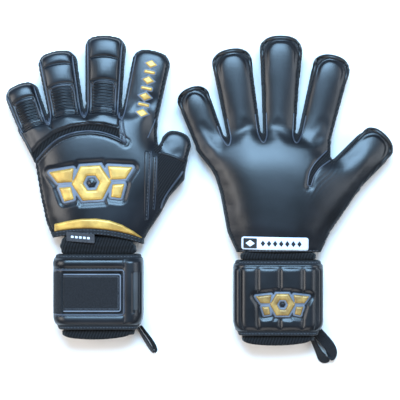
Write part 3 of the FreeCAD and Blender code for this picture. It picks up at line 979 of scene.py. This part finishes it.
BACK = latex_material("back_latex", (0.004, 0.005, 0.007), (0.008, 0.010, 0.014), 0.31, 0.12)
PALM = latex_material("palm_foam", (0.004, 0.0045, 0.006), (0.007, 0.008, 0.011), 0.34, 0.16)
STRAP = latex_material("strap_latex", (0.004, 0.0045, 0.006), (0.008, 0.009, 0.012), 0.32, 0.12)
GUSSET = knit_material("gusset_knit", (0.003, 0.003, 0.004), (0.011, 0.011, 0.013), 0.0018)
KNIT = knit_material("bandage_knit", (0.0015, 0.0015, 0.002), (0.009, 0.0095, 0.011), 0.0027, 0.35)
EDGE = latex_material("emblem_edge", (0.09, 0.105, 0.135), (0.15, 0.17, 0.21), 0.42, 0.1)
# Piping latex, lighter than the black glove: partly the piping's own grey, partly a painted highlight along
# its raised edges.
PIPE_AND_PAINTED_SHEEN = latex_material("seam_piping", (0.030, 0.037, 0.052), (0.060, 0.070, 0.092), 0.36, 0.1)
HOOK = woven_material("hook_tape", (0.005, 0.005, 0.0065), (0.013, 0.0135, 0.016), 0.0011)
WEB = woven_material("webbing", (0.005, 0.005, 0.006), (0.014, 0.014, 0.017), 0.0012)
LABEL = woven_material("woven_label", (0.030, 0.030, 0.034), (0.06, 0.06, 0.066), 0.0009)
PATCH = latex_material("soft_label", (0.60, 0.68, 0.80), (0.74, 0.80, 0.88), 0.4, 0.06)
HEM = woven_material("hem_binding", (0.007, 0.008, 0.010), (0.017, 0.019, 0.023), 0.0013)
PILE = knit_material("loop_pile", (0.010, 0.010, 0.012), (0.03, 0.03, 0.034), 0.0008)
STRIPE = latex_material("grey_stripe", (0.022, 0.025, 0.028), (0.046, 0.050, 0.055), 0.45, 0.15)
THREAD = woven_material("thread", (0.035, 0.040, 0.050), (0.085, 0.095, 0.110), 0.0006)
# The rolled tip edge: the glove's own black latex, made darker still as painted shade for the rim's dimmer
# reflection.
ROLL = latex_material("rolled_edge", (0.002, 0.002, 0.003), (0.004, 0.005, 0.006), 0.42, 0.12)
INK = latex_material("label_print", (0.008, 0.009, 0.011), (0.014, 0.015, 0.018), 0.5, 0.05)
GOLD = gold_material("gold_print", (0.42, 0.235, 0.055), (0.68, 0.42, 0.10))
BRONZE = gold_material("bronze_print", (0.22, 0.125, 0.038), (0.44, 0.27, 0.08))

# Each group of shapes: its material, its slot and the CAD piece that it stands for.
GROUPS = {
    "finger_pads": (BACK, "back_latex", None),
    "light_piping": (PIPE_AND_PAINTED_SHEEN, "back_latex", None),
    "dark_piping": (BACK, "back_latex", None),
    "palm_piping": (PIPE_AND_PAINTED_SHEEN, "palm_foam", None),
    "stitching": (THREAD, "woven_label", None),
    "motif_edge": (EDGE, "back_latex", None),
    "finger_motif": (GOLD, "gold_print", None),
    "knuckle_pad": (BACK, "back_latex", "knuckle_panel"),
    "emblem_edge": (EDGE, "back_latex", None),
    "emblem": (GOLD, "gold_print", "back_emblem"),
    "hem_binding": (HEM, "knit", None),
    "gold_bar": (GOLD, "gold_print", "trim_bar"),
    "woven_tag": (LABEL, "woven_label", "label_tab"),
    "tag_print": (PATCH, "soft_label", None),
    "thumb_bands": (BACK, "back_latex", None),
    "tip_roll": (ROLL, "palm_foam", None),
    "slit_gusset": (GUSSET, "mesh_fabric", None),
    "palm_patch": (PATCH, "soft_label", "palm_label"),
    "label_print": (INK, "soft_label", None),
    "cuff_stitching": (THREAD, "woven_label", None),
    "strap_piping": (PIPE_AND_PAINTED_SHEEN, "strap_latex", None),
    "channel_seams": (STRAP, "strap_latex", None),
    "badge_edge": (EDGE, "strap_latex", None),
    "strap_badge": (BRONZE, "gold_print", "strap_emblem"),
    "tab_edge": (EDGE, "hook_fabric", None),
    "tab_stitching": (THREAD, "hook_fabric", None),
}

# ---------------------------------------------------------------- the two gloves
LEFT = Glove(
    "left", False, 15.0, 0.0,
    [("pinky", 47, 15.2, 17.2, 24), ("ring", 67, 17.2, 19.5, 36), ("middle", 79, 17.2, 20.5, 38),
     ("index", 73, 17.6, 19.0, 37), ("thumb", 28, 15.0, 15.0, None)],
    [(-45, 15), (-52, 32), (-58, 60), (-63, 90)],
    [(85, 74), (70, 57), (61, 40), (50, 24), (45, 15)],
)
RIGHT = Glove(
    "right", True, 2.0, -6.0,
    [("pinky", 62, 14.8, 16.8, 32), ("ring", 92, 16.5, 20.0, 46), ("middle", 104, 15.6, 21.2, 52),
     ("index", 88, 16.2, 18.8, 44), ("thumb", 60, 19.5, 19.0, None)],
    [(-41, 2), (-50, 22), (-57, 60), (-65, 86)],
    [(66, 42), (52, 22), (43, 2)],
)


# ---------------------------------------------------------------- skins, back and palm
def build_skin(glove):
    """The glove's two skins and the dark gusset between them, as far as the hem."""
    def shape(x, y):
        return np.maximum(glove.distance(x, y), glove.hem_line(x) - y)

    points, quads, rim = lattice(shape, (FIELD[0], FIELD[1], glove.hem - 6, FIELD[3]), FIELD_STEP)
    top, bottom = (glove.place(skin, *points.T, 0.15) for skin in ("top", "bottom"))
    vertices, faces = closed_sheet(quads, rim, top, bottom)
    x, y, _ = vertices[faces].mean(axis=1).T
    on_top = np.arange(len(faces)) < len(quads)
    on_back = on_top != glove.palm_up
    slots = np.where(on_top, 0, 2)
    slots[-glove.distance(x, y) < 3.2] = 1
    slots[on_back & (polygon_distance(flex_band(glove), x, y) < 0)] = 3
    slots[on_back & (polygon_distance(glove.shifted(THUMB_MESH), x, y) < 0)] = 1
    upper, lower, slot = (PALM, BACK, "palm_foam") if glove.palm_up else (BACK, PALM, "back_latex")
    made = add_pieces(glove, "skin", vertices, faces, [upper, GUSSET, lower, KNIT], slots)
    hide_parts(*[glove.body(n) for n in ("palm_latex", "back_panel", "thumb_gusset")])
    for digit in glove.digits:
        name = glove.body(digit.name)
        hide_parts(name + "_palm", name + "_back")
        if digit.knuckle:
            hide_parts(name + "_tip")


def inside_glove(glove, points, x, y):
    """The distance to a rounded polygon, cut off near the glove's edge."""
    return np.maximum(polygon_distance(points, x, y) - 0.4, glove.distance(x, y) + EDGE_CLEAR)


def finger_panel(back, digit, rib_end, pad_end):
    """A finger's padded back: fine arched ribs in a frame, then one or two plain pads."""
    start, stop = 1.5, digit.length - 2.5
    rib_start = start + 4.0
    marks = [rib_start - 1.6, rib_end] + ([pad_end] if pad_end else [])

    def shape(across, level):
        outline = rounded_corner(np.abs(across) - 0.77 * digit.half(level), level - stop, 3.0)
        return np.maximum(outline, start - level)

    def lift(across, level, depth):
        side = np.abs(across) / digit.half(level)
        ribbed = smooth_step((0.56 - side) / 0.05) * smooth_step(level - rib_start)
        ribbed = ribbed * smooth_step(rib_end - 2.0 - level)
        wave = 0.5 + 0.5 * np.cos(2 * math.pi * (level - rib_start - 1.4) / RIB_PITCH)
        total = cushion(1.5, 1.8)(across, level, depth) + ribbed * (1.5 * wave - 1.0)
        total = total - 0.8 * smooth_step(rib_end - 1.0 - level) * groove(side, 0.63, 0.035)
        for mark in marks:
            total = total - 1.0 * groove(level, mark, 0.75)
        for low, high in zip(marks[1:], marks[2:] + [stop + 2.0]):
            total = total + 1.1 * ridge(level, low + 1, high - 1) * ridge(side, -0.72, 0.72)
        return total

    bounds = (-24.0, 24.0, -2.0, digit.length + 2)
    back.plate("finger_pads", shape, bounds, RIB_PITCH / 6, lift, digit, arch=ARCH)
    # The frame round the ribs: a thin piping whose lighter colour is partly a painted highlight on the raised
    # frame edge.
    frame = 0.69 * digit.half(rib_end / 2)
    side = [(frame, rib_start - 2), (frame, rib_end - 3)]
    corners = [(-x, level) for x, level in side] + [(0, rib_end - 1.2)] + side[::-1]
    back.piping("light_piping", corners, 0.4, 1.25, digit)


def web_line(first, second, share, reach, deep):
    """A line down one finger's side, round the web and up the next finger."""
    def side(digit, sign):
        ahead = [reach(digit), 0.6 * reach(digit), 12.0, 3.0]
        return [digit.plan(sign * share * digit.half(u), u) for u in ahead]

    web = web_place(first, second)
    return side(first, 1.0) + [(web[0], web[1] - deep)] + side(second, -1.0)[::-1]


def index_motif(digit, across, along):
    """A generic row of lozenges and bars along the index finger."""
    pitch = 8.2
    total = np.full(np.shape(across), FAR)
    for k in range(int((digit.length - 12) / pitch)):
        dx, dy = across - 1.5 + 0.2 * (k - 3), along - 9.5 - pitch * k
        if k % 2:
            shape = rounded_corner(np.abs(dx) - 5.8, np.abs(dy) - 1.9, 1.4)
        else:
            shape = lozenge(dx, dy, 6.8, 4.6, 3.6)
        total = np.minimum(total, shape)
    return total


def build_fingers(glove, back):
    """The padded fingers, the piping round them all and the index finger's motif."""
    for digit, ribs, pad in zip(glove.fingers(), (0.66, 0.50, 0.44), (None, 0.80, 0.73)):
        finger_panel(back, digit, ribs * digit.length, pad and pad * digit.length)
    pinky, index = glove.digit("pinky"), glove.digit("index")
    for share, deep in ((0.84, 2.5), (0.95, 0.5)):
        for first, second in zip(glove.fingers(), glove.fingers()[1:]):
            line = web_line(first, second, share, lambda d: d.length - 7, deep)
            back.piping("light_piping", line, 0.7, 0.35)
        outer = [pinky.plan(-share * pinky.half(u), u) for u in (pinky.length - 7, 20, 5, -8)]
        back.piping("light_piping", outer, 0.7, 0.35)
    outer = [index.plan(0.93 * index.half(u), u) for u in (index.length - 8, 30, 5, -14)]
    back.piping("light_piping", outer, 0.6, 0.3)
    area = (-10, 13, 2, index.length)
    layers = (("motif_edge", 0.9, cushion(0.7, 0.6)), ("finger_motif", 0.0, cushion(1.7, 1.8)))
    for group, margin, lift in layers:
        back.plate(group, lambda x, y: index_motif(index, x, y) - margin, area, 0.5, lift, index)


def build_knuckles(glove, back):
    """The pad over the knuckles, and the piping and stitching of the flex line below it."""
    bases = []
    for finger in glove.fingers()[:3]:
        edge = 0.88 * finger.half_root
        places = [(-edge, -0.5), (0.0, 1.0), (edge, -0.5), (finger.half_root + 2.0, -6.5)]
        bases += [finger.plan(*place) for place in places]
    outline = glove.shifted([(-73, 104)]) + bases + glove.shifted([(21.5, 132)] + KNUCKLE_LOW[::-1])
    area = (-92, 34, 90 + glove.shift, 150 + glove.shift)
    back.plate("knuckle_pad", lambda x, y: inside_glove(glove, outline, x, y), area, 0.8, cushion(1.7, 3.0))
    flex = glove.shifted(FLEX_LOWER)
    back.piping("light_piping", flex, 0.85, 0.5)
    back.piping("dark_piping", [(x + 0.2, y - 2.2) for x, y in flex], 1.1, 0.1)
    back.stitches([(x + 0.6, y - 4.4) for x, y in flex])
    for offset in (-1.3, 1.3):
        back.piping("light_piping", [(x + offset, y) for x, y in glove.shifted(DOUBLE_SEAM)], 0.6, 0.5)


def build_back(glove):
    """What is padded, sewn or printed on the back of the hand."""
    back = Side(glove, "back")
    build_fingers(glove, back)
    build_knuckles(glove, back)
    side = [(-64.5, 91 + glove.shift), (-58.5, 66 + glove.shift / 2), (-53, 42), (-47.5, glove.hem + 6)]
    back.piping("light_piping", side, 0.7, 0.3)
    area = (-54, 42, 44 + glove.shift, 98 + glove.shift)
    layers = (("emblem_edge", 2.1, cushion(1.3, 1.0)), ("emblem", 0.0, cushion(3.1, 3.4)))
    for group, margin, lift in layers:
        back.plate(group, lambda x, y: back_emblem(glove, x, y) - margin, area, 0.7, lift)
    build_hem(glove, back)
    build_thumb_side(glove, back)


def build_hem(glove, back):
    """The back's bound hem, its gold bar and its woven tag."""
    def band(x, y):
        middle = y - glove.hem_line(x) - HEM_WIDTH / 2
        return np.maximum(np.abs(middle) - HEM_WIDTH / 2, glove.distance(x, y) + 1.0)

    def above_hem(points):
        return [(x, glove.hem_line(x) + up) for x, up in points]

    back.plate("hem_binding", band, (-48, 50, glove.hem - 8, glove.hem + 14), 0.8, cushion(0.9, 1.2))
    for up in (1.4, HEM_WIDTH - 1.2):
        back.stitches(above_hem([(x, up) for x in np.linspace(-42, 42, 15)]), 1.1)
    low = [(x, HEM_WIDTH + 0.6) for x in np.linspace(-43, 43, 9)]
    bar = above_hem(low[:-1] + BAR_RISE)
    area = (-50, 52, glove.hem, glove.hem + 32)
    back.plate("gold_bar", lambda x, y: inside_glove(glove, bar, x, y), area, 0.7, cushion(2.0, 2.6))

    tag_place = glove.hem_line(0.0) + (2.5 if glove.palm_up else -2.6)

    def block(x, y, middle, half_width, half_height, corner):
        slanted = y - tag_place + 0.08 * (x + 17)
        return rounded_corner(np.abs(x - middle) - half_width, np.abs(slanted) - half_height, corner)

    area = (-34, 0, glove.hem - 8, glove.hem + 12)
    back.plate("woven_tag", lambda x, y: block(x, y, -17, 14, 4.6, 0.8), area, 0.7, 1.9, sink=-1.2)
    for middle in (-25, -21, -17, -13, -9):
        back.plate("tag_print", lambda x, y: block(x, y, middle, 1.3, 1.1, 0.4), area, 0.5, 2.15, sink=-1.8)


def build_thumb_side(glove, back):
    """The raised bands and the piping beside the thumb's mesh."""
    area = (40, 64, 28 + glove.shift, 108 + glove.shift)
    for points in THUMB_BANDS:
        band = glove.shifted(points)
        back.plate("thumb_bands", lambda x, y: inside_glove(glove, band, x, y), area, 0.7, cushion(1.2, 1.6))
        back.piping("light_piping", band[1:4], 0.5, 0.5)
        back.stitches([(x - 1.4, y) for x, y in band[1:4]], 1.2)
    back.piping("light_piping", glove.shifted(THUMB_PIPING), 0.9, 0.4)
    back.piping("dark_piping", glove.shifted(THUMB_CAP), 1.3, 0.2)


def build_palm(glove):
    """The palm's seams, rolled tips, slit and moulded label."""
    palm = Side(glove, "palm")
    for first, second in zip(glove.fingers(), glove.fingers()[1:]):
        line = web_line(first, second, 0.8, lambda d: 0.26 * d.length, 2.5)
        palm.piping("palm_piping", line, 0.7, 0.3)
    for digit in glove.digits:
        build_tip_roll(glove, palm, digit)
    build_slit(glove, palm)
    palm.stitches([(x, glove.hem_line(x) + 1.6) for x in np.linspace(-40, 40, 15)], 0.3)

    place = glove.hem_line(0.0) + (8.6 if glove.palm_up else 12.0)

    def patch(x, y):
        return rounded_corner(np.abs(x + 3.4) - 33.2, np.abs(y - place + 0.02 * x) - 6.6, 2.6)

    area = (-40, 34, place - 9, place + 9)
    palm.plate("palm_patch", patch, area, 0.8, cushion(0.9, 1.0))
    palm.plate("label_print", lambda x, y: label_marks(x, y - place + 0.02 * x), area, 0.5, 1.15, sink=-0.6)


def build_tip_roll(glove, palm, digit):
    """The thick rolled edge round a fingertip, thinning out down the finger's sides."""
    half = digit.half(digit.length) - ROLL_INSET
    end = digit.length - ROLL_INSET
    low = 0.6 * digit.length
    side = [(half, low), (half, end - 16), (half, end - 8), (0.86 * half, end - 3.5), (0.5 * half, end - 0.6)]
    path = smooth_path([(-x, y) for x, y in side] + [(0, end + 0.2)] + side[::-1])
    swell = smooth_step((path[:, 1] - low) / (0.8 * (end - low)))
    roll = tube(glove.place(palm.skin, *digit.plan(*path.T), -0.6), 0.9 + 1.9 * swell)
    glove.gather("tip_roll", *roll)


def build_slit(glove, palm):
    """The piped gusset in the slit by the thumb."""
    slit = smooth_path(thumb_slit(glove), 2.0)
    half = np.interp(np.linspace(0, 3, len(slit)), range(4), SLIT_HALF)[:, None]
    ahead = np.gradient(slit, axis=0)
    aside = np.column_stack([-ahead[:, 1], ahead[:, 0]]) / np.linalg.norm(ahead, axis=1, keepdims=True)
    rim = [tuple(p) for p in np.concatenate([slit + half * aside, (slit - half * aside)[::-1]])]
    low, high = slit.min(axis=0), slit.max(axis=0)
    area = (low[0] - 8, high[0] + 8, low[1] - 6, high[1] + 8)
    palm.plate("slit_gusset", lambda x, y: inside_glove(glove, rim, x, y), area, 0.7, cushion(0.4, 1.0))
    palm.piping("palm_piping", rim, 0.7, 0.5)


def label_marks(x, y):
    """Generic marks for the palm's label: a dark block with a lozenge cut out, and a row of dots."""
    block = rounded_corner(np.abs(x + 28) - 6.6, np.abs(y) - 5.0, 0.8)
    total = np.maximum(block, -lozenge(x + 28, y, 4.6, 3.4, 2.6))
    for k in range(7):
        total = np.minimum(total, lozenge(x + 15.5 - 6.0 * k, y, 2.3, 3.0, 1.8))
    return total


# ---------------------------------------------------------------- cuff
def round_wrist(step):
    return np.linspace(-HALF_GIRTH, HALF_GIRTH, int(round(2 * HALF_GIRTH / step)) + 1)[:-1]


def build_strap(glove):
    """The padded strap about the wrist, with its hems, pile, fixed tape and grey stripe as materials."""
    around = round_wrist(1.0)
    edge = [0.0, 0.25, 0.7, 1.3]
    outside = edge + list(np.arange(2.0, STRAP_LENGTH - 1.9, 0.8)) + [STRAP_LENGTH - d for d in edge[::-1]]
    rows = []
    for depth in outside + [STRAP_LENGTH - 0.4, 0.4]:
        y = np.full(len(around), glove.strap_top - depth)
        height = glove.cuff_relief(around, y) if len(rows) < len(outside) else -6.0
        rows.append(glove.wrap(around, y, height))
    vertices, faces = loft(rows)
    x, y, z = vertices[faces].mean(axis=1).T
    depth = glove.strap_top - y
    slots = np.zeros(len(faces), int)
    slots[(depth < 3.9) | (depth > STRAP_LENGTH - 4.6)] = 1
    on_back = (z > WRIST_THICK / 2) != glove.palm_up
    level = on_back & (depth > TAB_TOP - 0.6) & (depth < TAB_BOTTOM + 0.6)
    slots[level & (x > TAB_LEFT) & (x < TAB_RIGHT + 0.8)] = 2
    slots[level & (x < TAB_LEFT)] = 3
    slots[level & (x > 35.2) & (x < 39.8) & (depth < 54)] = 4
    materials = [STRAP, HEM, PILE, HOOK, STRIPE]
    piece = ride_piece(glove, "strap", vertices, faces, materials, "strap_latex", "cuff", slots)
    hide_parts(glove.body("wrist_strap"), glove.body("loop_field"))


def build_strap_sides(glove):
    """The strap's stitching and piping, and the palm side's channel seams and badge."""
    back, palm = Side(glove, "back", "cuff"), Side(glove, "palm", "cuff")
    for side in (back, palm):
        for depth in (1.8, STRAP_LENGTH - 2.2):
            side.stitches(glove.down_strap([(x, depth) for x in np.linspace(-43, 43, 12)]), 0.2)
    back.piping("strap_piping", glove.down_strap(STRAP_FRAME), 0.9, 0.2)
    for depth in (13.9, 60.5):
        back.stitches(glove.down_strap([(x, depth) for x in np.linspace(-43, 20, 6)]), 0.2)
    for x in CHANNELS if glove.palm_up else (CHANNELS[0], CHANNELS[-1]):
        line = glove.down_strap([(x, depth) for depth in (7.5, 25, 45, 66.5)])
        palm.piping("channel_seams", line, 0.45, 0.25)
    area = (-32, 38, glove.strap_top - 66, glove.strap_top - 20)
    layers = (("badge_edge", 1.5, cushion(1.2, 0.9)), ("strap_badge", 0.0, cushion(2.5, 2.4)))
    for group, margin, lift in layers:
        palm.plate(group, lambda x, y: badge(x, glove.strap_top - y) - margin, area, 0.6, lift)


def build_tab(glove):
    """The woven hook tab with its stitched, piped edge."""
    skin = "cuff_" + glove.skin("back")
    middle = (TAB_TOP + TAB_BOTTOM) / 2
    half = (TAB_BOTTOM - TAB_TOP) / 2

    def sewn_edge(x, y):
        return rounded_corner(x - TAB_RIGHT, np.abs(glove.strap_top - y - middle) - half, 5.5)

    def shape(x, y):
        return np.maximum(sewn_edge(x, y), TAB_LEFT - x)

    area = (TAB_LEFT - 2, TAB_RIGHT + 2, glove.strap_top - 60, glove.strap_top - 15)
    points, quads, rim = lattice(shape, area, 0.8)
    x, y = points.T
    around = glove.around(skin, x)
    crown = 0.35 * np.clip(-sewn_edge(x, y) / 1.5, 0, 1)
    sheet = closed_sheet(quads, rim, glove.wrap(around, y, crown - 0.35), glove.wrap(around, y, -2.45))
    piece = ride_piece(glove, "hook_flap", *sheet, [HOOK], "hook_fabric", "tab")
    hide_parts(glove.body("hook_tab"))

    inset = 1.5
    low, high = glove.strap_top - TAB_BOTTOM + inset, glove.strap_top - TAB_TOP - inset
    right = TAB_RIGHT - inset
    edge = [(TAB_LEFT + 0.5, high), (10, high), (right - 4, high), (right, high), (right, high - 4),
            (right, low + 4), (right, low), (right - 4, low), (10, low), (TAB_LEFT + 0.5, low)]
    for group, inward, radius in (("tab_edge", 0.0, 0.75), ("tab_stitching", 2.2, 0.35)):
        x, y = smooth_path(edge).T
        y = y + np.where(y > (low + high) / 2, -inward, inward)
        x = np.minimum(x, right - inward)
        glove.gather(group, *tube(glove.wrap(glove.around(skin, x), y, 0.15), radius), "tab")


def blend_piece(glove, name, vertices, faces, material, slot, bodies, start, stop):
    """Makes one object, baked in place; it is not tied to the two bodies that it is given, nor bent between
    them.
    """
    piece = glove_mesh(glove, name, vertices, faces, [material])
    [glove.body(body) for body in bodies]
    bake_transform(piece)
    return piece


def build_sleeve(glove):
    """The knit bandage from inside the hand, through the strap and out beyond its far edge."""
    around = round_wrist(1.6)
    across = wrist_section(around)[0]
    hem = glove.hem_line(across)
    top = hem + 5.0
    far = glove.strap_top - STRAP_LENGTH
    end = far - 9.6 * np.sqrt(np.clip(1 - ((across + 4) / 48) ** 2, 0.28, 1.0))
    spans = ((0, 0.4, 48), (0.42, 0.85, 12), (0.86, 1.0, 22))
    ahead = np.concatenate([np.linspace(*span) for span in spans])
    rows, inner = [], []
    for share in ahead:
        y = top + (end - top) * share
        gap = ridge(y, glove.strap_top + 0.5, hem - 0.5)
        beyond = smooth_step((far + 1.0 - y) / 3.0)
        folds = 0.45 * np.sin(0.9 * y + 0.5 * np.sin(0.12 * across)) * gap
        height = -9.6 + 3.8 * gap + folds + (3.6 + 1.1 * ridge(y - end, -1.0, 4.6)) * beyond
        rows.append(glove.wrap(around, y, height))
        inner.append(glove.wrap(around, y, height - 2.3))
    vertices, faces = loft(rows + inner[::-6] + [inner[0]])
    ends = [(0.0, y, WRIST_THICK / 2) for y in (glove.hem_line(0.0) + 1.0, glove.strap_top - 1.0)]
    piece = blend_piece(glove, "bandage_knit", vertices, faces, KNIT, "knit", ("hand", "cuff"),
                        *glove.row(ends))
    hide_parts(glove.body("bandage"))


def build_loop(glove):
    """The pull loop: one webbing ribbon folded back on itself."""
    points = smooth_path([place + width for place, width in LOOPS[glove.name]], 1.0)
    path, width = points[:, :3], points[:, 3:]
    ahead = np.gradient(path, axis=0)
    ahead /= np.linalg.norm(ahead, axis=1, keepdims=True)
    width = width - ahead * np.sum(width * ahead, axis=1, keepdims=True)
    width /= np.linalg.norm(width, axis=1, keepdims=True)
    thick = np.cross(width, ahead)
    corners = [path + RIBBON[0] * across * width + RIBBON[1] * up * thick for across, up in RIBBON_SECTION]
    corners = np.stack(corners, axis=1)
    corners[..., 2] = np.maximum(corners[..., 2], 0.4)
    joint = np.array(JOINTS[glove.body("loop_swing")]["pos_m"])
    bend = 0.25 * (glove.row([path[len(path) // 2]])[0] - joint)
    piece = blend_piece(glove, "loop_ribbon", *capped_bar(corners), WEB, "webbing", ("cuff", "loop"),
                        joint - bend, joint + bend)
    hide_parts(glove.body("pull_loop"))


# ---------------------------------------------------------------- camera, floor and light, in metres
CAMERA_HEIGHT = 1.6
SENSOR = 36.0
SEEN = 0.398  # how much the camera sees at the gloves' level
SEEN_AT = 1.58  # how far below the camera that is
FLOOR = 3.0  # half its size
# name, place, size, power and colour of each light; all point at the middle
LIGHTS = [
    ("sky", (0.0, 0.78, 1.45), 0.9, 65.0, (0.42, 0.70, 1.0)),
    ("warm", (-1.15, 0.0, 1.0), 0.8, 13.0, (1.0, 0.965, 0.925)),
    ("cool", (1.15, 0.1, 1.0), 0.8, 10.0, (0.84, 0.92, 1.0)),
    ("front", (0.0, -1.2, 0.9), 0.8, 5.0, (1.0, 0.97, 0.93)),
]


def add_object(name, data, place=(0.0, 0.0, 0.0)):
    made = bpy.data.objects.new(name, data)
    made.location = place
    bpy.context.scene.collection.objects.link(made)
    return made


def build_stage():
    scene = bpy.context.scene
    low, high = CAD_BOX
    data = bpy.data.cameras.new("camera")
    data.sensor_width = SENSOR
    data.lens = SENSOR * SEEN_AT / SEEN
    place = ((low[0] + high[0]) / 2, (low[1] + high[1]) / 2, CAMERA_HEIGHT)
    scene.camera = add_object("camera", data, place)
    floor = bpy.data.meshes.new("floor")
    corners = [(FLOOR * x, FLOOR * y, 0) for x, y in ((-1, -1), (1, -1), (1, 1), (-1, 1))]
    floor.from_pydata(corners, [], [(0, 1, 2, 3)])
    floor.materials.append(new_material("floor", (0.97, 0.93, 0.90), 0.9, specular=0.0)[0])
    add_object("floor", floor)
    scene.world = bpy.data.worlds.new("world")
    scene.world.use_nodes = True
    background = scene.world.node_tree.nodes["Background"]
    background.inputs["Color"].default_value = (0.9, 0.95, 1.0, 1.0)
    background.inputs["Strength"].default_value = 0.16
    scene.view_settings.view_transform = "Standard"
    for name, place, size, power, colour in LIGHTS:
        data = bpy.data.lights.new(name, "AREA")
        data.size = size
        data.energy = power
        data.color = colour
        light = add_object(name, data, place)
        light.rotation_euler = (-Vector(place)).to_track_quat("-Z", "Y").to_euler()


build_stage()
for each in (LEFT, RIGHT):
    build_skin(each)
    build_back(each)
    build_palm(each)
    build_strap(each)
    build_strap_sides(each)
    build_tab(each)
    build_sleeve(each)
    build_loop(each)
    finish_shapes(each)
